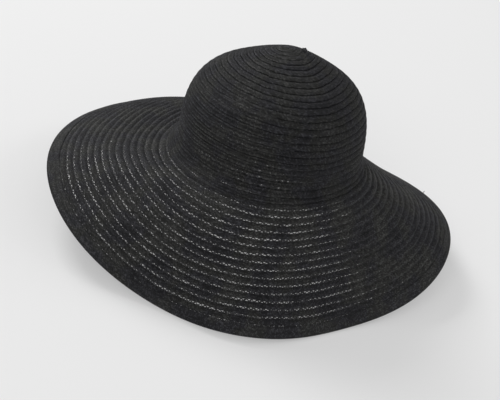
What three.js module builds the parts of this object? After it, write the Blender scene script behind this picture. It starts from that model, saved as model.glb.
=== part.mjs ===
// A wide sun hat of narrow braid sewn round and round, standing on its own brim.
// Millimetres, +Z up. The hat is drawn about its own axis, with the crown's tip at
// zero, and is then leaned and set down so that its brim stands on the plane z = 0.
import * as THREE from 'three';

// Lengths along the hat's surface, from the tip of the crown to the edge of the brim
const TIP_ARC = 18.6;
const CROWN_ARC = 152;
const BRIM_WIDTH = 113;
const EDGE_WIDTH = 12;

// Thickness of one layer of braid, and of the doubled row along the edge
const WALL = 1.8;
const EDGE_WALL = 3.8;
// Two pieces that follow each other along the surface stay this far apart
const GAP = 0.3;
// The edge row is folded over the brim's last row, which reaches this far into it
// and is this far from its faces, a little more than GAP because the facets differ
const FOLD_DEPTH = 4;
const FOLD_GAP = 0.45;
// The coil at the tip is knotted flat underneath over this radius
const KNOT_RADIUS = 8;

// Facets round the hat, and the longest step along its surface
const ROUND = 60;
const STEP = 9.5;
// Half an angle, in radians, below which an azimuth counts as on a section
const ON_SECTION = 1e-9;

// The crown's own line: slope below level, in degrees, along the surface
const CROWN_LINE = [
  { arc: 0, slope: 4 },
  { arc: 18, slope: 20 },
  { arc: 38, slope: 25 },
  { arc: 58, slope: 30 },
  { arc: 77, slope: 46 },
  { arc: 95, slope: 66 },
  { arc: 115, slope: 82 },
  { arc: 135, slope: 84 },
  { arc: 152, slope: 38 },
];

// Sections round the hat, equally spaced from the right side by way of the back.
// shoulder and side: how far the crown bulges there, in millimetres, high and low.
// root, middle and edge: the brim's slope below level, in degrees.
const SECTIONS = [
  { azimuth: 0, shoulder: -1, side: 0, root: 32, middle: 28, edge: 44 },
  { azimuth: 30, shoulder: 2, side: -1, root: 37, middle: 29, edge: 28 },
  { azimuth: 60, shoulder: 0, side: 0, root: 28, middle: 36, edge: 37 },
  { azimuth: 90, shoulder: 0, side: 0, root: 20, middle: 35, edge: 50 },
  { azimuth: 120, shoulder: 0, side: 1, root: 1, middle: 23, edge: 54 },
  { azimuth: 150, shoulder: 3, side: 2, root: 0, middle: 11, edge: 38 },
  { azimuth: 180, shoulder: 0, side: 1, root: 9, middle: 9, edge: 29 },
  { azimuth: 210, shoulder: -3, side: -2, root: -1, middle: 32, edge: 44 },
  { azimuth: 240, shoulder: -2, side: -2, root: 30, middle: 60, edge: 64 },
  { azimuth: 270, shoulder: 0, side: 1, root: 58, middle: 60, edge: 54 },
  { azimuth: 300, shoulder: 1, side: 2, root: 66, middle: 64, edge: 63 },
  { azimuth: 330, shoulder: -3, side: 1, root: 48, middle: 55, edge: 50 },
];

// Where along the brim, as shares of its width, the three slopes are given
const ROOT_AT = 0.1;
const MIDDLE_AT = 0.5;
const EDGE_AT = 1;

// The crown's tip lies this far from above the middle of its base
const LEAN_X = 4;
const LEAN_Y = 12;

// How the hat stands: its axis leans by REST_TILT away from REST_TOWARD, and its tip is here
const REST_TILT = 6.9;
const REST_TOWARD = -56.4;
const TIP_AT = [0.7, 14.8, 183.5];

const FULL_ARC = CROWN_ARC + BRIM_WIDTH;
const radians = THREE.MathUtils.degToRad;

// A smooth curve through the rows of a table, read at any arc between the first and the last
function alongTable(rows, arc) {
  const last = rows.length - 1;
  const tangent = (i) => {
    const before = rows[Math.max(i - 1, 0)];
    const after = rows[Math.min(i + 1, last)];
    return (after.slope - before.slope) / (after.arc - before.arc);
  };
  let i = 0;
  while (i < last - 1 && arc >= rows[i + 1].arc) {
    i += 1;
  }
  const span = rows[i + 1].arc - rows[i].arc;
  const t = Math.min(Math.max((arc - rows[i].arc) / span, 0), 1);
  const start = (2 * t ** 3 - 3 * t ** 2 + 1) * rows[i].slope;
  const end = (3 * t ** 2 - 2 * t ** 3) * rows[i + 1].slope;
  const leave = (t ** 3 - 2 * t ** 2 + t) * span * tangent(i);
  const arrive = (t ** 3 - t ** 2) * span * tangent(i + 1);
  return start + end + leave + arrive;
}

// A smooth closed curve round the hat through one column of the sections
function roundHat(column, azimuth) {
  const count = SECTIONS.length;
  let sum = 0;
  for (const section of SECTIONS) {
    const half = (azimuth - radians(section.azimuth)) / 2;
    const onSection = Math.abs(Math.sin(half)) < ON_SECTION;
    const weight = onSection ? 1 : Math.sin(count * half) * Math.cos(half) / (count * Math.sin(half));
    sum += section[column] * weight;
  }
  return sum;
}

// The brim's slope below level, in degrees, at a share of its width
function brimSlope(share, azimuth) {
  const root = roundHat('root', azimuth);
  const middle = roundHat('middle', azimuth);
  const edge = roundHat('edge', azimuth);
  const curve = root * (share - MIDDLE_AT) * (share - EDGE_AT) / ((ROOT_AT - MIDDLE_AT) * (ROOT_AT - EDGE_AT))
    + middle * (share - ROOT_AT) * (share - EDGE_AT) / ((MIDDLE_AT - ROOT_AT) * (MIDDLE_AT - EDGE_AT))
    + edge * (share - ROOT_AT) * (share - MIDDLE_AT) / ((EDGE_AT - ROOT_AT) * (EDGE_AT - MIDDLE_AT));
  return THREE.MathUtils.lerp(
    alongTable(CROWN_LINE, CROWN_ARC),
    curve,
    THREE.MathUtils.smoothstep(share, 0, ROOT_AT),
  );
}

// One line down the hat from its tip to its edge, millimetre by millimetre
function drawLine(azimuth) {
  const slopeAt = (arc) => radians(
    arc <= CROWN_ARC ? alongTable(CROWN_LINE, arc) : brimSlope((arc - CROWN_ARC) / BRIM_WIDTH, azimuth),
  );
  const line = [{ radius: 0, height: 0, slope: slopeAt(0) }];
  for (let arc = 1; arc <= FULL_ARC; arc += 1) {
    const above = line[arc - 1];
    const slope = slopeAt(arc);
    const mean = (above.slope + slope) / 2;
    line.push({ radius: above.radius + Math.cos(mean), height: above.height - Math.sin(mean), slope });
  }
  return line;
}

const azimuths = Array.from({ length: ROUND }, (unused, i) => 2 * Math.PI * i / ROUND);
const lines = azimuths.map(drawLine);
const baseHeight = lines[0][CROWN_ARC].height;

// A point of the hat: so far along its surface, on one of its lines, and so far out of it
function hatPoint(arc, index, lift) {
  const azimuth = azimuths[index];
  const line = lines[index];
  const whole = Math.min(Math.floor(arc), FULL_ARC - 1);
  const above = line[whole];
  const below = line[whole + 1];
  const part = arc - whole;
  const slope = THREE.MathUtils.lerp(above.slope, below.slope, part);
  const down = Math.min(arc / CROWN_ARC, 1);
  const bulge = Math.sin(Math.PI * down) * roundHat('shoulder', azimuth)
    + Math.sin(Math.PI * down ** 2) * roundHat('side', azimuth);
  const radius = THREE.MathUtils.lerp(above.radius, below.radius, part) + bulge + lift * Math.sin(slope);
  const height = THREE.MathUtils.lerp(above.height, below.height, part) + lift * Math.cos(slope);
  const lean = Math.min(Math.max(1 - height / baseHeight, 0), 1) - 1;
  return new THREE.Vector3(
    radius * Math.cos(azimuth) + LEAN_X * lean,
    radius * Math.sin(azimuth) + LEAN_Y * lean,
    height,
  );
}

// A closed body swept round the hat. Its outline is a list of corners, each an arc and a lift,
// in order round the section; with a tip the outline starts and ends on the hat's axis.
function sweepRound(outline, tip) {
  const positions = [];
  const faces = [];
  for (const corner of outline) {
    for (let i = 0; i < ROUND; i += 1) {
      positions.push(...hatPoint(corner.arc, i, corner.lift).toArray());
    }
  }
  const rings = outline.length;
  const joined = tip ? rings - 1 : rings;
  for (let ring = 0; ring < joined; ring += 1) {
    const here = ring * ROUND;
    const next = ((ring + 1) % rings) * ROUND;
    for (let i = 0; i < ROUND; i += 1) {
      const j = (i + 1) % ROUND;
      faces.push(here + i, next + i, next + j, here + i, next + j, here + j);
    }
  }
  if (tip) {
    const top = positions.length / 3;
    positions.push(...tip.top.toArray(), ...tip.under.toArray());
    const lastRing = (rings - 1) * ROUND;
    for (let i = 0; i < ROUND; i += 1) {
      const j = (i + 1) % ROUND;
      faces.push(top, i, j, top + 1, lastRing + j, lastRing + i);
    }
  }
  const geometry = new THREE.BufferGeometry();
  geometry.setAttribute('position', new THREE.Float32BufferAttribute(positions, 3));
  geometry.setIndex(faces);
  geometry.computeVertexNormals();
  return geometry;
}

// Arcs from one end to the other in equal steps no longer than STEP
function arcSteps(from, to) {
  const count = Math.ceil((to - from) / STEP);
  return Array.from({ length: count + 1 }, (unused, i) => from + (to - from) * i / count);
}

// The outline of a wall: out along its top, back along its underside
function wallOutline(from, to, thickness) {
  const arcs = arcSteps(from, to);
  const top = arcs.map((arc) => ({ arc, lift: 0 }));
  const under = arcs.map((arc) => ({ arc, lift: -thickness })).reverse();
  return [...top, ...under];
}

// The first coils of braid, closed at the middle and knotted flat underneath
function crownTip() {
  const outline = wallOutline(KNOT_RADIUS, TIP_ARC - GAP / 2, WALL);
  const knotHeight = hatPoint(KNOT_RADIUS, 0, -WALL).z;
  const top = hatPoint(0, 0, 0);
  const under = new THREE.Vector3(top.x, top.y, knotHeight);
  return sweepRound(outline, { top, under });
}

// The crown below its first coils, down to where the brim turns out
function crown() {
  return sweepRound(wallOutline(TIP_ARC + GAP / 2, CROWN_ARC - GAP / 2, WALL));
}

// The brim, its last row reaching into the fold of the edge
function brim() {
  const end = FULL_ARC - EDGE_WIDTH + FOLD_DEPTH - GAP;
  return sweepRound(wallOutline(CROWN_ARC + GAP / 2, end, WALL));
}

// The doubled edge row, folded over the brim: a thick strip with a slot in its inner side
function brimEdge() {
  const inner = FULL_ARC - EDGE_WIDTH;
  const cover = (EDGE_WALL - WALL) / 2;
  const slotEnd = inner + FOLD_DEPTH;
  return sweepRound([
    { arc: inner, lift: cover },
    { arc: FULL_ARC, lift: cover },
    { arc: FULL_ARC, lift: -WALL - cover },
    { arc: inner, lift: -WALL - cover },
    { arc: inner, lift: -WALL - FOLD_GAP },
    { arc: slotEnd, lift: -WALL - FOLD_GAP },
    { arc: slotEnd, lift: FOLD_GAP },
    { arc: inner, lift: FOLD_GAP },
  ]);
}

function piece(name, geometry, colour, roughness) {
  const material = new THREE.MeshStandardMaterial({ color: colour, roughness, metalness: 0 });
  const mesh = new THREE.Mesh(geometry, material);
  mesh.name = name;
  return mesh;
}

const hat = new THREE.Group();
hat.add(
  piece('crown_tip', crownTip(), '#2a2b2c', 0.62),
  piece('crown', crown(), '#2b2c2d', 0.62),
  piece('brim', brim(), '#2d2e2f', 0.6),
  piece('brim_edge', brimEdge(), '#262728', 0.66),
);

const tilt = radians(REST_TILT);
const toward = radians(REST_TOWARD);
const tableUp = new THREE.Vector3(
  Math.sin(tilt) * Math.cos(toward),
  Math.sin(tilt) * Math.sin(toward),
  Math.cos(tilt),
);
hat.quaternion.setFromUnitVectors(tableUp, new THREE.Vector3(0, 0, 1));
hat.position.set(...TIP_AT);

export default hat;
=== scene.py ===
"""A charcoal sun hat of narrow woven braid, sewn round and round in one long spiral.

The braid is one strip. It starts as a small coil at the tip of the crown, winds down the crown
with every turn lapped over the next, and goes on out over the brim, where the turns stand a little
apart and are joined by the open lacy margin of the braid. A doubled row closes the brim's edge.
Lengths in the tables are millimetres in the hat's own frame; everything made is in metres.
"""
import math

import bpy
import numpy as np
from mathutils import Matrix, Vector


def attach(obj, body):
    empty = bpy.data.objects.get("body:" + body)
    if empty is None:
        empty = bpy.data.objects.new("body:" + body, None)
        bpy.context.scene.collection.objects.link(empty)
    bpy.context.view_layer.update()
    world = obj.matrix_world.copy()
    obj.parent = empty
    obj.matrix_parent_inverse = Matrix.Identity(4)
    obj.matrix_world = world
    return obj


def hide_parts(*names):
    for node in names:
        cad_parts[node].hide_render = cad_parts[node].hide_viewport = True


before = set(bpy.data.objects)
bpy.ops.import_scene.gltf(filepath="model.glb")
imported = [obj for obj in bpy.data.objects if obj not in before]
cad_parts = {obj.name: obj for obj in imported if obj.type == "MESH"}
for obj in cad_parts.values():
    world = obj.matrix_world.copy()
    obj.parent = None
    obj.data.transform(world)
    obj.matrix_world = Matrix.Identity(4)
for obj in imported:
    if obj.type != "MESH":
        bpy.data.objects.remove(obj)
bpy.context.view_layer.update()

MM = 0.001
# Less than any length, angle or share that counts here
TINY = 1e-6

# The hat's form, the same as the frame's: lengths along its surface from tip to edge
CROWN_ARC = 152
BRIM_WIDTH = 113
FULL_ARC = CROWN_ARC + BRIM_WIDTH

# The crown's own line: distance from the tip along the surface, slope below level in degrees
CROWN_LINE = (
    (0, 4),
    (18, 20),
    (38, 25),
    (58, 30),
    (77, 46),
    (95, 66),
    (115, 82),
    (135, 84),
    (152, 38),
)

# Sections every 30 degrees round the hat, from +X, the picture's right, by way of the back.
# shoulder, side: how far the crown bulges; root, middle, edge: the brim's slope below level.
# inner, centre, outer: how far the brim's first, middle and last rows stray from even spacing.
SECTION_COLUMNS = ("shoulder", "side", "root", "middle", "edge", "inner", "centre", "outer")
SECTIONS = (
    (-1, 0, 32, 28, 44, -1.2, 0.3, 1.3),
    (2, -1, 37, 29, 28, -1.0, 0.0, 0.0),
    (0, 0, 28, 36, 37, 0.0, 0.0, 0.0),
    (0, 0, 20, 35, 50, 0.0, 0.0, 0.0),
    (0, 1, 1, 23, 54, 0.0, 0.0, 0.0),
    (3, 2, 0, 11, 38, -0.5, -0.5, -0.5),
    (0, 1, 9, 9, 29, -0.7, -0.1, -0.2),
    (-3, -2, -1, 32, 44, 0.3, -0.3, 0.7),
    (-2, -2, 30, 60, 64, 0.8, 1.9, 3.2),
    (0, 1, 58, 60, 54, 2.8, 3.2, 2.3),
    (1, 2, 66, 64, 63, 1.1, -0.3, 2.2),
    (-3, 1, 48, 55, 50, -1.4, 0.5, 0.3),
)
# Shares of the brim's width where the three slopes are given
ROOT_AT, MIDDLE_AT, EDGE_AT = 0.1, 0.5, 1.0
# The tip stands this far to the right of the crown's foot, and this far behind it
LEAN = (4, 12)

# How the hat stands: its axis leans by REST_TILT away from REST_TOWARD, and its tip is here
REST_TILT = 6.9
REST_TOWARD = -56.4
TIP_AT = (0.7, 14.8, 183.5)

# Soft dents of the worn crown: distance from the tip, azimuth, depth, reach down, reach round
DENTS = (
    (86, 285, 1.6, 20, 24),
    (118, 312, 1.8, 16, 22),
    (62, 252, 0.7, 30, 5),
    (70, 205, 0.8, 16, 20),
)

# The turns wind round a point this far from the hat's axis at the tip, and round the axis itself
# from OFFSET_REACH down
COIL_OFFSET = (-6.0, 0.0)
OFFSET_REACH = 90


def smooth(t):
    """Smoothstep from 0 to 1."""
    t = np.clip(t, 0, 1)
    return t * t * (3 - 2 * t)


def along_table(rows, at):
    """A smooth curve through the rows of a table of two columns."""
    x, y = np.array(rows, float).T
    tangent = np.empty(len(x))
    tangent[1:-1] = (y[2:] - y[:-2]) / (x[2:] - x[:-2])
    tangent[0] = (y[1] - y[0]) / (x[1] - x[0])
    tangent[-1] = (y[-1] - y[-2]) / (x[-1] - x[-2])
    at = np.clip(at, x[0], x[-1])
    i = np.clip(np.searchsorted(x, at, side="right") - 1, 0, len(x) - 2)
    span = x[i + 1] - x[i]
    t = (at - x[i]) / span
    start = (2 * t**3 - 3 * t**2 + 1) * y[i] + (t**3 - 2 * t**2 + t) * span * tangent[i]
    end = (3 * t**2 - 2 * t**3) * y[i + 1] + (t**3 - t**2) * span * tangent[i + 1]
    return start + end


def round_hat(column):
    """One column of the sections as a smooth closed curve, read at every whole degree."""
    values = [row[SECTION_COLUMNS.index(column)] for row in SECTIONS]
    count = len(values)
    total = np.zeros(360)
    for i, value in enumerate(values):
        half = np.radians(np.arange(360) - 360 * i / count) / 2
        on_section = np.abs(np.sin(half)) < TINY
        below = np.where(on_section, 1, count * np.sin(half))
        total += value * np.where(on_section, 1, np.sin(count * half) * np.cos(half) / below)
    return total


def brim_slope(share):
    """The brim's slope below level, in degrees, at shares of its width and every whole degree."""
    root, middle, edge = (round_hat(name) for name in ("root", "middle", "edge"))
    a, b, c = ROOT_AT, MIDDLE_AT, EDGE_AT
    curve = (
        root * (share - b) * (share - c) / ((a - b) * (a - c))
        + middle * (share - a) * (share - c) / ((b - a) * (b - c))
        + edge * (share - a) * (share - b) / ((c - a) * (c - b))
    )
    turned = smooth(share / ROOT_AT)
    return CROWN_LINE[-1][1] * (1 - turned) + curve * turned


def form_grid():
    """Radius, height and slope of the surface, every millimetre down and every degree round."""
    arcs = np.arange(FULL_ARC + 1)[:, None]
    crown = along_table(CROWN_LINE, np.minimum(arcs, CROWN_ARC))
    brim = brim_slope(np.clip((arcs - CROWN_ARC) / BRIM_WIDTH, 0, 1))
    slope = np.radians(np.where(arcs <= CROWN_ARC, crown, brim))
    mean = (slope[1:] + slope[:-1]) / 2
    none = np.zeros((1, 360))
    radius = np.concatenate([none, np.cumsum(np.cos(mean), 0)])
    height = np.concatenate([none, -np.cumsum(np.sin(mean), 0)])
    down = np.clip(arcs / CROWN_ARC, 0, 1)
    radius += np.sin(np.pi * down) * round_hat("shoulder")
    radius += np.sin(np.pi * down**2) * round_hat("side")
    return np.stack([radius, height, slope])


FORM = form_grid()
BASE_HEIGHT = FORM[1, CROWN_ARC, 0]
STRAY = np.stack([round_hat(name) for name in ("inner", "centre", "outer")])


def read_round(columns, azimuth):
    """Values given for every whole degree, read at any azimuth."""
    whole = np.floor(azimuth).astype(int)
    part = azimuth - whole
    return columns[..., whole % 360] * (1 - part) + columns[..., (whole + 1) % 360] * part


def read_form(arc, azimuth):
    """Radius, height and slope at any place of the surface."""
    arc = np.clip(arc, 0, FULL_ARC - TINY)
    row = np.floor(arc).astype(int)
    part = arc - row
    whole = np.floor(azimuth).astype(int)
    turn = azimuth - whole
    near, far = whole % 360, (whole + 1) % 360
    above = FORM[:, row, near] * (1 - turn) + FORM[:, row, far] * turn
    below = FORM[:, row + 1, near] * (1 - turn) + FORM[:, row + 1, far] * turn
    return above * (1 - part) + below * part


def beside(azimuth, toward):
    """Degrees between an azimuth and another, either way round."""
    return np.abs((azimuth - toward + 180) % 360 - 180)


def dent_depth(arc, azimuth):
    """How far the soft dents press the crown in."""
    depth = np.zeros(np.shape(arc))
    for at, toward, deepest, reach_down, reach_round in DENTS:
        down, aside = (arc - at) / reach_down, beside(azimuth, toward) / reach_round
        depth += deepest * np.exp(-down**2 - aside**2)
    return depth


def stand(points):
    """Points of the hat's own frame, in millimetres, set down as the hat stands, in metres."""
    tilt, toward = math.radians(REST_TILT), math.radians(REST_TOWARD)
    up = Vector((
        math.sin(tilt) * math.cos(toward),
        math.sin(tilt) * math.sin(toward),
        math.cos(tilt),
    ))
    turn = np.array(up.rotation_difference(Vector((0, 0, 1))).to_matrix())
    return (points @ turn.T + np.array(TIP_AT)) * MM


def surface(arc, azimuth, lift):
    """Points so far along the surface, at an azimuth in degrees, and so far out of it."""
    arc, azimuth, lift = np.broadcast_arrays(*(np.asarray(v, float) for v in (arc, azimuth, lift)))
    angle = np.radians(azimuth)
    share = np.clip(1 - arc / OFFSET_REACH, 0, 1) ** 2
    x = arc * np.cos(angle) + COIL_OFFSET[0] * share
    y = arc * np.sin(angle) + COIL_OFFSET[1] * share
    far = np.hypot(x, y)
    place = np.degrees(np.arctan2(y, x)) % 360
    radius, height, slope = read_form(far, place)
    out = lift - dent_depth(far, place)
    beyond = np.maximum(far - FULL_ARC, 0)
    radius = radius + out * np.sin(slope) + beyond * np.cos(slope)
    height = height + out * np.cos(slope) - beyond * np.sin(slope)
    lean = np.clip(1 - height / BASE_HEIGHT, 0, 1) - 1
    angle = np.radians(place)
    return stand(np.stack([
        radius * np.cos(angle) + LEAN[0] * lean,
        radius * np.sin(angle) + LEAN[1] * lean,
        height,
    ], axis=-1))


# The spiral. Lines are counted outwards, one for each turn: these are lines and how far each runs
# from the tip. The tip's coil ends at TIP_END, and the brim's turns begin at CROWN_TURNS.
LINES = (
    (-5, -2.4),
    (-1, 19.6),
    (1, 30.7),
    (6, 62.6),
    (12, 98.6),
    (14, 109.9),
    (18, 132.3),
    (20, 144.5),
    (21, 149.0),
    (22, 154.5),
    (37, 252.75),
    (38, 259.0),
)
COIL_START = -5.5
TIP_END = -1
CROWN_TURNS = 22
BRIM_TURNS = 15
LAST_LINE = CROWN_TURNS + BRIM_TURNS - 1
# Each turn steps out to the next line at the back of the hat, from this azimuth and over so many
# degrees
STEP_FROM = 20
STEP_OVER = 130
# Lines wander a little to either side, as rows sewn by eye do: by this much for each of these
# counts of waves round the hat. Their phases, up to so many radians, drift from one of the
# WAVE_LINES to the next.
WANDER = 0.11
WANDER_WAVES = (3, 7, 12, 19, 31)
WAVE_LINES = np.arange(-10, 50)
WAVE_PHASES = 7
SEED = 11
# The wandering grows over so many lines of the tip's coil, and the brim's uneven spacing over the
# crown's last ones
GROWING_LINES = 4
# Near the tip the stations along the spiral are set out as at this radius, and each turn has this
# many at least
LEAST_RADIUS = 1.5
LEAST_STATIONS = 4


def waves(line, azimuth, counts):
    """A sum of waves round the hat, so many of each, that drift from one line to the next."""
    rng = np.random.default_rng(SEED)
    total = np.zeros(np.broadcast(line, azimuth).shape)
    for count in counts:
        phases = rng.uniform(0, WAVE_PHASES, len(WAVE_LINES))
        phase = np.interp(line, WAVE_LINES, phases)
        total = total + np.sin(np.radians(azimuth) * count + phase)
    return total


def grown(line, last):
    """From 0 to 1 over the few lines that come before a given one."""
    return smooth(1 + (line - last) / GROWING_LINES)


def line_arc(line, azimuth):
    """How far down the surface a line between two turns runs."""
    line = np.asarray(line, float)
    even = np.interp(line, *np.array(LINES).T)
    inner, centre, outer = read_round(STRAY, azimuth)
    half = np.clip((line - CROWN_TURNS) / BRIM_TURNS * 2, 0, 2)
    near, far = inner + (centre - inner) * half, centre + (outer - centre) * (half - 1)
    stray = np.where(half < 1, near, far)
    wander = WANDER * waves(line, azimuth, WANDER_WAVES)
    return even + stray * grown(line, CROWN_TURNS) + wander * grown(line, TIP_END)


def turn_radius(line, least):
    """The hat's radius at the middle of a turn, and no less than a given one."""
    return np.maximum(read_form(line_arc(line + 0.5, 0.0), 0.0)[0], least)


def spiral(angle):
    """Azimuth and line of the braid after so many degrees of winding."""
    whole = np.floor(angle / 360)
    gone = angle - whole * 360
    return (gone + STEP_FROM) % 360, whole + smooth(gone / STEP_OVER)


def winding(first, last, step):
    """Stations along the spiral between two turns: degrees wound, and distances run."""
    angles, runs, run = [], [], 0.0
    turn = first
    while turn < last - TINY:
        until = min(math.floor(turn + TINY) + 1, last)
        length = (until - turn) * 2 * math.pi * float(turn_radius(turn, LEAST_RADIUS))
        part = np.arange(max(int(round(length / step)), LEAST_STATIONS))
        part = part / len(part)
        angles.append((turn + part * (until - turn)) * 360)
        runs.append(run + part * length)
        run += length
        turn = until
    return np.append(np.concatenate(angles), last * 360.0), np.append(np.concatenate(runs), run)


# The lacy margin is open round the front: over this reach to either side, fading over so many
# degrees more, and by these shares in front and at the sides and back
FRONT = 252
FRONT_REACH = 44
FRONT_FADE = 48
FRONT_OPEN = 0.86
SIDE_OPEN = 0.15
# From one line on, the outer rows are open over more and more to either side, a third of which
# goes to the right
OUTER_FROM, OUTER_GROWS = 26, 10
OUTER_REACH = 9
OUTER_SHIFT = 1 / 3
# The doubled edge covers this much of the last margin
EDGE_SHUTS = 0.3
# Along the brim the margin opens by this share more or less for each of these counts of waves
# round the hat. Where it opens more, the open front ends sooner: so many degrees for a whole share.
OPEN_DRIFT = 0.055
OPEN_WAVES = (7, 11, 18, 29)
OPEN_END_DRIFT = 40
# A few of the crown's lines gape in front too, and the brim has small worn places at its left and
# right: line, azimuth, reach round, how far. Each is full for half of its reach, and shut at
# WINDOW_END times it.
OPENINGS = (
    (9, 242, 20, 0.67),
    (10, 222, 18, 0.62),
    (13, 248, 26, 0.63),
    (14, 250, 18, 0.67),
    (16, 265, 26, 0.69),
    (17, 264, 34, 0.73),
    (18, 256, 46, 0.85),
    (19, 267, 20, 0.74),
    (20, 246, 26, 0.57),
    (21, 220, 19, 0.76),
    (28, 173, 1, 0.80),
    (30, 184, 1, 0.90),
    (31, 178, 2, 0.70),
    (22, 327, 5, 0.75),
    (31, 336, 1, 0.60),
    (33, 341, 2, 0.60),
    (34, 338, 2, 0.65),
    (35, 340, 1, 0.60),
    (36, 335, 3, 0.65),
    (36, 347, 1, 0.60),
)
WINDOW_END = 1.5


def openness(line, azimuth):
    """How open the lacy margin at a line stands, from 0 to 1."""
    drift = OPEN_DRIFT * waves(line, azimuth, OPEN_WAVES)
    wider = OUTER_REACH * smooth((line - OUTER_FROM) / OUTER_GROWS)
    past = beside(azimuth, FRONT + wider * OUTER_SHIFT) - FRONT_REACH - wider + OPEN_END_DRIFT * drift
    front = (1 - smooth(past / FRONT_FADE)) * (FRONT_OPEN + drift)
    front = front * (1 - EDGE_SHUTS * smooth(line - LAST_LINE))
    on_brim = smooth(2 * (line - CROWN_TURNS) + 1)
    opened = on_brim * (SIDE_OPEN + (1 - SIDE_OPEN) * front)
    for at, toward, reach, amount in OPENINGS:
        window = smooth(WINDOW_END - beside(azimuth, toward) / reach)
        opened = np.maximum(opened, amount * window * smooth(1 - 2 * np.abs(line - at)))
    return opened


def mesh_object(name, points, faces, weave=None, sharp=None):
    """A mesh of points and faces. weave: run along the braid, place across it, turn and rise."""
    mesh = bpy.data.meshes.new(name)
    mesh.from_pydata(points.reshape(-1, 3).tolist(), [], faces)
    if weave is not None:
        *along_across_turn, rises = weave
        places = np.stack(np.broadcast_arrays(*along_across_turn), -1).astype(np.float32)
        place = mesh.attributes.new("place", "FLOAT_VECTOR", "POINT")
        place.data.foreach_set("vector", places.ravel())
        rises = np.broadcast_to(rises, places.shape[:-1]).astype(np.float32)
        rise = mesh.attributes.new("rise", "FLOAT", "POINT")
        rise.data.foreach_set("value", rises.ravel())
    mesh.polygons.foreach_set("use_smooth", [True] * len(mesh.polygons))
    if sharp is not None:
        mesh.set_sharp_from_angle(angle=math.radians(sharp))
    made = bpy.data.objects.new(name, mesh)
    bpy.context.scene.collection.objects.link(made)
    return made


def swept_faces(stations, corners, ring):
    """Faces of a body swept through stations of so many corners; a ring closes on itself."""
    i = np.arange(stations if ring else stations - 1)[:, None]
    j = np.arange(corners)[None, :]
    here, there = i * corners, (i + 1) % stations * corners
    after = (j + 1) % corners
    faces = np.stack([here + j, there + j, there + after, here + after], -1)
    faces = faces.reshape(-1, 4).tolist()
    if not ring:
        last = (stations - 1) * corners
        faces.append(list(range(corners)))
        faces.append(list(range(last + corners - 1, last - 1, -1)))
    return faces


# The braid's section: share of the band's width, and lift on the crown, on the crown's left front
# where the two halves of the plait stand out, on the brim where the margin is shut, and on the brim
# where it stands open. The first TOP_CORNERS are its top, from its inner edge to its outer lip; the
# rest is below.
BAND = (
    (0.00, -1.15, -1.15, -1.20, -0.60),
    (0.12, -0.35, -0.20, -1.00, -0.05),
    (0.30, 0.12, 0.38, -0.20, 0.28),
    (0.48, 0.38, -0.22, 0.40, 0.42),
    (0.66, 0.50, 0.10, 0.62, 0.38),
    (0.84, 0.48, 0.42, 0.42, 0.18),
    (0.98, 0.25, -0.10, -0.25, -0.20),
    (1.00, -0.90, -0.90, -1.20, -0.80),
    (0.50, -1.00, -1.00, -0.95, -0.95),
    (0.00, -1.50, -1.50, -1.60, -1.00),
)
TOP_CORNERS = 7
# A row is about this wide
ROW = 6.5
# Shares of a turn's width: where the band starts, and where it ends when shut and when open
BAND_START = -0.05
SHUT_END = 1.05
OPEN_END = 0.73
# The brim's section takes over from the crown's across one line from here
BRIM_FROM = CROWN_TURNS - 1.5
# Strands cross at this distance, with so many stations to a crossing, and rise and sink by this
# much. Real strands are nearer 1.5 mm; they are drawn wider so that they show.
CROSSING = 2.4
STATIONS = 3
STRAND_RELIEF = 0.20
# They lean away from the braid's middle as the strands of a flat plait do, by this much for a
# whole width, and near the tip by the angle that this is at LEAN_RADIUS
STRAND_LEAN = 4.2
LEAN_RADIUS = 3
# The rows stand out this much more at the foot of the crown than on its top, growing from one line
# over so many
LOW_RELIEF = 0.55
LOW_FROM, LOW_GROWS = 5, 8
# The two halves of the plait show round this azimuth at the tip, over this reach to either side,
# fading over so many degrees. Lower down they show farther round and over a wider reach, which
# grows from one line over so many.
RIDGED_TOWARD, RIDGED_TURN = 205, 25
RIDGED_REACH, RIDGED_GROWS = 48, 17
RIDGED_FADE = 25
RIDGED_FROM, RIDGED_LINES = 1, 16
# The middles of the two halves, as shares of the width, and how much painted highlight lightens them,
# with painted shade in the groove between
RIDGES_FROM, RIDGES_APART = 0.32, 0.5
RIDGE_SHADE = 1.5
# In front the crown's rows are pressed flatter, round this line and azimuth
PRESSED_LINE, PRESSED_REACH = 9, 3.5
PRESSED_TOWARD, PRESSED_ROUND = 262, 30
PRESSED_SHARE = 0.5
# Edges that turn by more than so many degrees stay sharp: those of the braid and of single threads
BRAID_SHARP = 50
THREAD_SHARP = 30


def band_edges(line, azimuth):
    """Where a turn's band begins and ends, as arcs."""
    start, end = line_arc(line, azimuth), line_arc(line + 1, azimuth)
    width = end - start
    finish = SHUT_END + (OPEN_END - SHUT_END) * openness(line + 1, azimuth)
    return start + BAND_START * width, start + finish * width


def crossings(stations, corners, top):
    """How the strands rise and sink at every corner of every station, from -1 to 1."""
    phase = np.arange(stations)[:, None] / STATIONS + np.arange(corners)[None, :] / 2
    shown = (np.arange(corners) < top) & (np.arange(corners) > 0)
    return np.cos(2 * np.pi * phase) * shown


def ridging(line, azimuth):
    """How plainly the two halves of the plait show on the crown, from 0 to 1."""
    lower = smooth((line - RIDGED_FROM) / RIDGED_LINES)
    reach = RIDGED_REACH + RIDGED_GROWS * lower
    return smooth((reach - beside(azimuth, RIDGED_TOWARD + RIDGED_TURN * lower)) / RIDGED_FADE)


def pressed(line, azimuth):
    """The share of their relief that the rows keep where the crown is pressed flatter."""
    down = (line - PRESSED_LINE) / PRESSED_REACH
    aside = beside(azimuth, PRESSED_TOWARD) / PRESSED_ROUND
    return 1 - PRESSED_SHARE * np.exp(-down**2 - aside**2)


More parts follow.
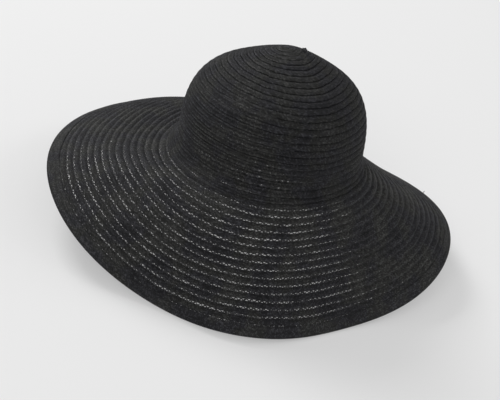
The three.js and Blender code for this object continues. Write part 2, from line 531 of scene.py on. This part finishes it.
def braid_band(name, first, last, flatter=1.0, lifted=0.0):
    """The dense band of the braid from one turn to another, its strands in relief."""
    angle, run = winding(first, last, CROSSING / STATIONS)
    shares, plain_lift, ridged_lift, shut_lift, open_lift = np.array(BAND).T
    lean = STRAND_LEAN * np.abs(shares - 0.5)
    radius = turn_radius(spiral(angle)[1], LEAN_RADIUS)[:, None]
    azimuth, line = spiral(angle[:, None] + np.degrees(lean / radius))
    inner, outer = band_edges(line, azimuth)
    arc = inner + shares * (outer - inner)

    on_brim = smooth(line - BRIM_FROM)
    ridged = ridging(line, azimuth) * (1 - on_brim)
    crown_lift = plain_lift + (ridged_lift - plain_lift) * ridged
    closed_lift = crown_lift * (1 - on_brim) + shut_lift * on_brim
    open_here = np.maximum(openness(line, azimuth), openness(line + 1, azimuth))
    lift = closed_lift * (1 - open_here) + open_lift * open_here
    lower = LOW_RELIEF * smooth((line - LOW_FROM) / LOW_GROWS) * (1 - on_brim)
    relief = flatter * (1 + lower) * pressed(line, azimuth)
    rise = crossings(len(angle), len(BAND), TOP_CORNERS)
    # Painted highlight on the plait's two halves and painted shade between them, carried to the straw
    # with the strands' rise
    painted_ridge_light = RIDGE_SHADE * ridged * np.cos(2 * np.pi * (shares - RIDGES_FROM) / RIDGES_APART)
    return mesh_object(
        name,
        surface(arc, azimuth, lift * relief + lifted + STRAND_RELIEF * rise),
        swept_faces(len(angle), len(BAND), ring=False),
        (run[:, None], shares * ROW, line, rise + painted_ridge_light),
        BRAID_SHARP,
    )


# The lacy margin is one thread that goes to and fro between a band and the next. It turns at this
# distance, more or less. The real one turns at about 1 mm; it is drawn coarser so that it shows.
TURN_RUN = 2.5
TURN_STRAYS = 0.3
# Its width, how far the width strays from one stretch to the next, and its limits. It also drifts
# by this share, fuller and thinner, over each of these lengths.
THREAD_WIDTH = 1.18
WIDTH_STRAYS = (0.6, 1.55)
WIDTH_LIMITS = (0.5, 2.4)
FULLNESS_DRIFT = 0.08
FULLNESS_RUNS = (16, 5)
THREAD_THICKNESS = 0.34
THREAD_LIFT = -0.45
# It is caught this far inside the band that it belongs to, and inside the next
THREAD_GRIP = 0.2
# Where the margin is less open than this the bands hide the thread, and none is made
THREAD_SHOWS = 0.05

# A bar's eight corners: which end each is at, how it lies over the bar's middle line in thickness
# and to which side of it, and the six faces
BAR_ENDS = np.array((0,) * 4 + (1,) * 4)
BAR_LIFTS = np.array((0.5, 0.5, -0.5, -0.5) * 2)
BAR_SIDES = np.array((-1, 1, 1, -1) * 2)
BAR_FACES = ((0, 1, 5, 4), (1, 2, 6, 5), (2, 3, 7, 6), (3, 0, 4, 7), (3, 2, 1, 0), (4, 5, 6, 7))
# In the straw's shading a bar counts as this raised, which gives it the painted highlight of a raised
# strand, as this far from the bar before it, so that each has a shade of its own, and its far end as
# this far across the row
BAR_RISE = 0.4
BAR_APART = 1.7
BAR_ACROSS = 0.5


def bars(name, start, end, width, thickness, turn):
    """Small flat bars, each from one place to another; places are rows of arc, azimuth and lift."""
    numbers = np.arange(len(width))
    arc, azimuth, lift = (
        np.where(BAR_ENDS == 0, here[:, None], there[:, None]) for here, there in zip(start, end)
    )
    radius = read_form(start[0], start[1])[0]
    away = np.stack([end[0] - start[0], np.radians(end[1] - start[1]) * radius])
    away = away / np.maximum(np.hypot(*away), TINY)
    half = width[:, None] / 2 * BAR_SIDES
    arc = arc - half * away[1][:, None]
    azimuth = azimuth + np.degrees(half * away[0][:, None] / radius[:, None])
    points = surface(arc, azimuth, lift + BAR_LIFTS * thickness)
    faces = numbers[:, None, None] * len(BAR_ENDS) + np.array(BAR_FACES)
    weave = (numbers[:, None] * BAR_APART, BAR_ENDS * BAR_ACROSS, turn[:, None], BAR_RISE)
    return mesh_object(name, points, faces.reshape(-1, 4).tolist(), weave, THREAD_SHARP)


def drifting(rng, run, length):
    """Random values from -1 to 1 that drift from one to the next over a given length."""
    knots = rng.uniform(-1, 1, int(run[-1] / length) + 3)
    at = run / length
    whole = at.astype(int)
    return knots[whole] + (knots[whole + 1] - knots[whole]) * smooth(at - whole)


def lace(name, first, last, fuller=1.0):
    """The thread of the open margin, each stretch a thin flat bar from one band to the next."""
    rng = np.random.default_rng(SEED + int(first))
    angle, run = winding(first, last, TURN_RUN)
    count = len(angle)
    fullness = fuller * (1 + sum(FULLNESS_DRIFT * drifting(rng, run, far) for far in FULLNESS_RUNS))
    width = np.clip(THREAD_WIDTH * fullness * rng.uniform(*WIDTH_STRAYS, count), *WIDTH_LIMITS)
    radius = turn_radius(spiral(angle)[1], LEAN_RADIUS)
    strays = np.degrees(rng.normal(0, TURN_STRAYS, count) / radius)
    azimuth, line = spiral(angle + strays)
    leaves = band_edges(line, azimuth)[1] - THREAD_GRIP
    meets = band_edges(line + 1, azimuth)[0] + THREAD_GRIP
    arc = np.where(np.arange(count) % 2 == 0, leaves, meets)
    kept = np.flatnonzero((openness(line + 1, azimuth) > THREAD_SHOWS)[:-1])
    turned = (azimuth[kept + 1] - azimuth[kept] + 180) % 360 - 180
    lift = np.full(len(kept), THREAD_LIFT)
    start = np.stack([arc[kept], azimuth[kept], lift])
    end = np.stack([arc[kept + 1], azimuth[kept] + turned, lift])
    return bars(name, start, end, width[kept], THREAD_THICKNESS, line[kept])


# Ends of the sewing thread and a knot of it: where each leaves the straw as arc, azimuth and lift,
# where its tip is, and how wide and thick it is
THREAD_ENDS = (
    (14.0, 8, 0.8, 16.8, 19, 1.2, 2.8, 2.0),
    (16.6, 6, 0.7, 14.6, 19, 1.3, 2.2, 1.9),
    (15.2, 12, 1.4, 16.4, 20, 2.3, 1.2, 1.0),
    (258.5, 26, 0.6, 261.5, 27, 3.2, 0.6, 0.5),
    (60.5, 231, 0.6, 62.5, 233, 1.5, 0.4, 0.4),
    (198.0, 241, 0.3, 199.5, 243, 1.6, 0.4, 0.4),
    (240.0, 304, 0.3, 242.0, 305, 1.9, 0.4, 0.4),
)


def thread_ends(name):
    """The loose ends and the knot, each a short bar."""
    ends = np.array(THREAD_ENDS, float).T
    turns = np.arange(len(THREAD_ENDS)) * 1.0
    return bars(name, ends[:3], ends[3:6], ends[6], ends[7][:, None], turns)


# The doubled edge: distance out from where it begins as a share of its width, and lift. The first
# EDGE_TOP are its top, with the groove of its seam in the middle; the rest goes round the rim and
# back below.
EDGE_SECTION = (
    (0.00, 0.30),
    (0.04, 0.80),
    (0.12, 1.00),
    (0.20, 1.06),
    (0.28, 1.06),
    (0.36, 1.00),
    (0.43, 0.85),
    (0.49, 0.42),
    (0.55, 0.78),
    (0.62, 0.95),
    (0.70, 1.00),
    (0.78, 1.00),
    (0.86, 0.90),
    (0.93, 0.68),
    (0.98, 0.10),
    (1.00, -0.90),
    (0.98, -1.80),
    (0.90, -2.45),
    (0.70, -2.60),
    (0.54, -2.45),
    (0.49, -2.05),
    (0.44, -2.45),
    (0.26, -2.65),
    (0.08, -2.60),
    (0.00, -2.10),
)
EDGE_TOP = 14
EDGE_RELIEF = 0.13
# It begins this far inside the last line, and its shades are those of a turn past all the others
EDGE_LAP = 0.4
EDGE_TURN = 60.0


def doubled_edge(name):
    """The doubled row folded over the brim's last turn, all the way round."""
    radius = float(read_form(FULL_ARC, 0.0)[0])
    count = int(round(2 * math.pi * radius / CROSSING)) * STATIONS
    stations = np.arange(count)[:, None]
    shares, lifts = np.array(EDGE_SECTION).T
    lean = STRAND_LEAN * np.abs(shares * 2 % 1 - 0.5)
    azimuth = stations * 360 / count + np.degrees(lean / radius)
    begin = line_arc(CROWN_TURNS + BRIM_TURNS, azimuth) - EDGE_LAP
    arc = begin + shares * (FULL_ARC - begin)
    # Its strands' rise also gives them painted highlight, and painted shade where they cross under
    rise = crossings(count, len(shares), EDGE_TOP)
    return mesh_object(
        name,
        surface(arc, azimuth, lifts + EDGE_RELIEF * rise),
        swept_faces(count, len(shares), ring=True),
        (stations * CROSSING / STATIONS, arc - begin, EDGE_TURN, rise),
        BRAID_SHARP,
    )


# Paper straw. Its broad patches of shade, its grain and its fibres: how far apart they are, and how
# many octaves the noise of each has. The real grain is finer; it is this coarse so that it shows.
PATCHES = (22.2, 3)
GRAIN = (1.43, 2)
FIBRES = (0.385, 1)
# Where in the patches' noise each of the four greys is reached
PATCH_STOPS = (0.32, 0.45, 0.55, 0.66)
# Few crossings are much lighter than the rest, the more so the higher this power
SPECKLE_POWER = 3.0
# Shares by which the shade changes: with the strands' rise, as painted highlight on raised strands
# and painted shade where they sink, and with the grain
RISE_SHADE = 0.4
GRAIN_SHADE = 0.6
# Between these shares of a row's width the straw goes from painted shade at its inner edge to painted
# highlight at its outer lip
PAINTED_LAP_FROM, PAINTED_LAP_TO = 0.2, 0.95
# The grain makes the straw this much smoother and rougher
SMOOTHER, ROUGHER = 0.12, 0.14
# One twisted yarn of a strand is this wide, as the real one is. Yarns and fibres stand in relief,
# the fibres by this share of the yarns.
YARN = 0.6
YARN_DEPTH = 0.12
FIBRE_RELIEF = 1.2
BUMP_STRENGTH = 0.7
STRAW_IOR = 1.5
# Paper is dull: its sheen is a small part of what smooth plastic of that IOR would have
STRAW_SHEEN = 0.12

MULTIPLY = {"operation": "MULTIPLY"}
MULTIPLY_ADD = {"operation": "MULTIPLY_ADD"}


def linear(colour):
    """The linear values of an sRGB hex colour."""
    parts = [int(colour[i:i + 2], 16) / 255 for i in (1, 3, 5)]
    return [p / 12.92 if p <= 0.04045 else ((p + 0.055) / 1.055) ** 2.4 for p in parts] + [1.0]


def add(tree, kind, settings, inputs):
    """Adds a node with its settings. Each input is a value, or the node or socket it comes from."""
    node = tree.nodes.new(kind)
    for key, value in settings.items():
        setattr(node, key, value)
    for key, value in inputs.items():
        if isinstance(value, bpy.types.Node):
            value = value.outputs[0]
        if isinstance(value, bpy.types.NodeSocket):
            tree.links.new(value, node.inputs[key])
        else:
            node.inputs[key].default_value = value
    return node


def new_material(name):
    """A material with its tree and its shader."""
    made = bpy.data.materials.new(name)
    made.use_nodes = True
    return made, made.node_tree, made.node_tree.nodes["Principled BSDF"]


def paper_straw(name, greys, roughness, margin=0.0, speckle=1.1):
    """Paper straw, twisted paper yarn plaited flat and dyed black through.

    To the eye it is a matt near-black, with painted highlight on the raised strands and painted shade
    where they cross under, small changes from strand to strand and broad patches a little bluer or
    browner.
    greys: its four greys, from the darkest patches to the lightest.
    margin: how much painted highlight lightens a row towards its outer lip, and painted shade darkens
    it at its inner edge.
    speckle: how much lighter the lightest crossings are.
    """
    made, tree, shader = new_material(name)
    place = add(tree, "ShaderNodeAttribute", {"attribute_name": "place"}, {}).outputs["Vector"]
    rise = add(tree, "ShaderNodeAttribute", {"attribute_name": "rise"}, {}).outputs["Fac"]
    coords = add(tree, "ShaderNodeTexCoord", {}, {}).outputs["Object"]
    patches, grain, fibres = (
        add(tree, "ShaderNodeTexNoise", {}, {
            "Vector": coords,
            "Scale": 1 / (apart * MM),
            "Detail": detail,
        })
        for apart, detail in (PATCHES, GRAIN, FIBRES)
    )

    # Each crossing of the strands has a shade of its own
    cells = add(tree, "ShaderNodeVectorMath", MULTIPLY_ADD, {
        0: place,
        1: (2 / CROSSING, 1.0, 1.0),
        2: (0.5, 0.5, 0.5),
    })
    cell = add(tree, "ShaderNodeVectorMath", {"operation": "FLOOR"}, {0: cells})
    chance = add(tree, "ShaderNodeTexWhiteNoise", {}, {"Vector": cell})
    rare = add(tree, "ShaderNodeMath", {"operation": "POWER"}, {0: chance, 1: SPECKLE_POWER})
    shade = add(tree, "ShaderNodeMath", MULTIPLY_ADD, {0: rare, 1: speckle, 2: 1 - speckle / 4})

    # Painted highlight on raised strands and on the plait's ridges, painted shade where they sink;
    # lighter and darker by the grain; painted shade at a row's inner edge turning to painted
    # highlight towards its outer lip
    painted_rise_light = add(tree, "ShaderNodeMath", MULTIPLY_ADD, {0: rise, 1: RISE_SHADE, 2: 1.0})
    grainy = add(tree, "ShaderNodeMath", MULTIPLY_ADD, {
        0: grain,
        1: GRAIN_SHADE,
        2: 1 - GRAIN_SHADE / 2,
    })
    split = add(tree, "ShaderNodeSeparateXYZ", {}, {"Vector": place})
    across = add(tree, "ShaderNodeMapRange", {"interpolation_type": "SMOOTHSTEP"}, {
        "Value": split.outputs["Y"],
        "From Min": PAINTED_LAP_FROM * ROW,
        "From Max": PAINTED_LAP_TO * ROW,
        "To Min": 1 - margin,
        "To Max": 1 + margin,
    })
    for factor in (painted_rise_light, grainy, across):
        shade = add(tree, "ShaderNodeMath", MULTIPLY, {0: shade, 1: factor})

    colour = add(tree, "ShaderNodeValToRGB", {}, {"Fac": patches})
    elements = colour.color_ramp.elements
    while len(elements) < len(greys):
        elements.new(0.5)
    for element, stop, grey in zip(elements, PATCH_STOPS, greys):
        element.position = stop
        element.color = linear(grey)
    tinted = add(tree, "ShaderNodeVectorMath", {"operation": "SCALE"}, {0: colour, "Scale": shade})
    tree.links.new(tinted.outputs[0], shader.inputs["Base Color"])
    uneven = add(tree, "ShaderNodeMapRange", {}, {
        "Value": grain,
        "To Min": roughness - SMOOTHER,
        "To Max": roughness + ROUGHER,
    })
    tree.links.new(uneven.outputs[0], shader.inputs["Roughness"])

    # Yarns lie side by side in every strand
    turns = add(tree, "ShaderNodeMath", MULTIPLY, {0: split.outputs["X"], 1: 2 * math.pi / YARN})
    yarns = add(tree, "ShaderNodeMath", {"operation": "SINE"}, {0: turns})
    relief = add(tree, "ShaderNodeMath", MULTIPLY_ADD, {0: fibres, 1: FIBRE_RELIEF, 2: yarns})
    bump = add(tree, "ShaderNodeBump", {}, {
        "Strength": BUMP_STRENGTH,
        "Distance": YARN_DEPTH * MM,
        "Height": relief,
    })
    tree.links.new(bump.outputs["Normal"], shader.inputs["Normal"])
    shader.inputs["IOR"].default_value = STRAW_IOR
    shader.inputs["Specular IOR Level"].default_value = STRAW_SHEEN
    return made


# The camera's place in metres, the way it looks, in degrees right of straight back and below level,
# and how far it is rolled
CAMERA_AT = (-0.0323, -0.7186, 0.525)
CAMERA_HEADING = 2.47
CAMERA_DOWN = 34.87
CAMERA_ROLL = 14.85
# Its lens and the width of its sensor in millimetres, and the nearest that it sees in metres
CAMERA_LENS = 64.8
CAMERA_SENSOR = 36.0
CAMERA_NEAR = 0.01

# The pale table: a square from its middle this far to each side, in metres, of matt white board
# that a light table's glow shines through
TABLE_REACH = 6.0
TABLE_GREY = "#bdbdbd"
TABLE_ROUGHNESS = 0.9
TABLE_SHEEN = 0.1
TABLE_GLOW_COLOUR = "#f4f4f4"
TABLE_GLOW = 0.36
STUDIO_COLOUR = "#f6f6f6"
STUDIO_STRENGTH = 0.41
# Soft boxes: name, place and the point each faces in metres, side, and power in watts. The last one
# is light under the crown, which shows the lace against the table as it does in a white studio.
HAT_MIDDLE = (0.0, 0.0, 0.08)
SOFT_BOXES = (
    ("key_back_left", (-1.9, 2.0, 2.2), HAT_MIDDLE, 1.4, 73),
    ("fill_front", (-1.0, -2.3, 2.2), HAT_MIDDLE, 1.8, 29),
    ("side_right", (2.2, 0.6, 1.6), HAT_MIDDLE, 1.0, 12),
    ("glow_under_crown", (0.0, 0.0, 0.11), (0.0, 0.0, 0.0), 0.11, 0.006),
)


def set_camera():
    """The camera at the photograph's angle."""
    heading, down = math.radians(CAMERA_HEADING), math.radians(CAMERA_DOWN)
    ahead = Vector((
        math.sin(heading) * math.cos(down),
        math.cos(heading) * math.cos(down),
        -math.sin(down),
    ))
    level = ahead.cross(Vector((0, 0, 1))).normalized()
    upright = level.cross(ahead)
    roll = math.radians(CAMERA_ROLL)
    right = level * math.cos(roll) + upright * math.sin(roll)
    above = right.cross(ahead)
    turn = Matrix((right, above, -ahead)).transposed().to_4x4()
    data = bpy.data.cameras.new("camera")
    data.lens = CAMERA_LENS
    data.sensor_width = CAMERA_SENSOR
    data.sensor_fit = "HORIZONTAL"
    data.clip_start = CAMERA_NEAR
    made = bpy.data.objects.new("camera", data)
    made.matrix_world = Matrix.Translation(CAMERA_AT) @ turn
    bpy.context.scene.collection.objects.link(made)
    bpy.context.scene.camera = made


def soft_light(name, place, aim, size, power):
    """A square soft box at a place, turned towards a point."""
    lamp = bpy.data.lights.new(name, "AREA")
    lamp.shape = "SQUARE"
    lamp.size = size
    lamp.energy = power
    made = bpy.data.objects.new(name, lamp)
    made.location = place
    made.visible_camera = False
    made.rotation_euler = (Vector(aim) - Vector(place)).to_track_quat("-Z", "Y").to_euler()
    bpy.context.scene.collection.objects.link(made)


def pale_table():
    """Matt white board, painted: flat pale grey, with a little light of its own from below."""
    made, _, shader = new_material("pale_table")
    shader.inputs["Base Color"].default_value = linear(TABLE_GREY)
    shader.inputs["Roughness"].default_value = TABLE_ROUGHNESS
    shader.inputs["Specular IOR Level"].default_value = TABLE_SHEEN
    shader.inputs["Emission Color"].default_value = linear(TABLE_GLOW_COLOUR)
    shader.inputs["Emission Strength"].default_value = TABLE_GLOW
    return made


def set_stage():
    """The pale table under the hat, and soft studio light round it."""
    corners = [(x * TABLE_REACH, y * TABLE_REACH, 0) for x, y in ((-1, -1), (1, -1), (1, 1), (-1, 1))]
    floor = mesh_object("floor", np.array(corners), [[0, 1, 2, 3]])
    floor.data.materials.append(pale_table())
    world = bpy.data.worlds.new("studio")
    world.use_nodes = True
    background = world.node_tree.nodes["Background"]
    background.inputs["Color"].default_value = linear(STUDIO_COLOUR)
    background.inputs["Strength"].default_value = STUDIO_STRENGTH
    bpy.context.scene.world = world
    for box in SOFT_BOXES:
        soft_light(*box)
    bpy.context.scene.view_settings.view_transform = "Standard"


def finish_piece(piece, material, node=None):
    """Gives a piece its material and its place in the frame."""
    piece.data.materials.append(material)
    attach(piece, "root")
    if node:
        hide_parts(node)


set_camera()
set_stage()

# The crown and the brim are one straw in two copies: the crown's is the darkest, the brim's is
# painted lighter for the light on it, with stronger painted light and shade across its rows and
# livelier speckle
crown_straw = paper_straw(
    "paper_straw_close_sewn",
    ("#222224", "#29292c", "#2a2a29", "#2f2f2f"),
    roughness=0.60,
    margin=0.12,
    speckle=1.5,
)
brim_straw = paper_straw(
    "paper_straw_open_sewn",
    ("#262628", "#2e2e31", "#30302f", "#363635"),
    roughness=0.58,
    margin=0.2,
    speckle=1.6,
)
# The doubled row's copy is painted lighter still, with no painted shade across it, and the margin's
# single yarns are lighter and a little glossier
edge_straw = paper_straw(
    "paper_straw_doubled",
    ("#2a2a2c", "#313134", "#333332", "#383838"),
    roughness=0.62,
    speckle=1.4,
)
lace_straw = paper_straw(
    "paper_yarn_margin",
    ("#29292b", "#313133", "#333333", "#3b3b3a"),
    roughness=0.55,
)

# The crown: its rows are parted at CROWN_SPLIT, and those from CROWN_GAPES down have a margin
CROWN_SPLIT = 12
CROWN_GAPES = 7
tip = braid_band("tip_coil", COIL_START, TIP_END, flatter=0.5, lifted=0.1)
upper = braid_band("crown_rows_upper", TIP_END, CROWN_SPLIT)
lower = braid_band("crown_rows_lower", CROWN_SPLIT, CROWN_TURNS - 1)
gapes = lace("crown_margin", CROWN_GAPES, CROWN_TURNS - 2, fuller=1.15)
finish_piece(tip, crown_straw, "crown_tip")
finish_piece(upper, crown_straw, "crown")
finish_piece(lower, crown_straw)
finish_piece(gapes, lace_straw)

# The brim in three parts: name, first turn of its rows and of its margin, last turn of both, and
# the node replaced
BRIM_END = CROWN_TURNS + BRIM_TURNS - 0.65
BRIM_PARTS = (
    ("inner", CROWN_TURNS - 1, CROWN_TURNS - 2, CROWN_TURNS + 4, "brim"),
    ("middle", CROWN_TURNS + 4, CROWN_TURNS + 4, CROWN_TURNS + 9, None),
    ("outer", CROWN_TURNS + 9, CROWN_TURNS + 9, BRIM_END, None),
)
for part, first_row, first_margin, last_turn, node in BRIM_PARTS:
    rows = braid_band("brim_rows_" + part, first_row, last_turn)
    finish_piece(rows, brim_straw, node)
    margin = lace("brim_margin_" + part, first_margin, last_turn)
    finish_piece(margin, lace_straw)

finish_piece(doubled_edge("edge_row"), edge_straw, "brim_edge")
finish_piece(thread_ends("thread_ends"), lace_straw)
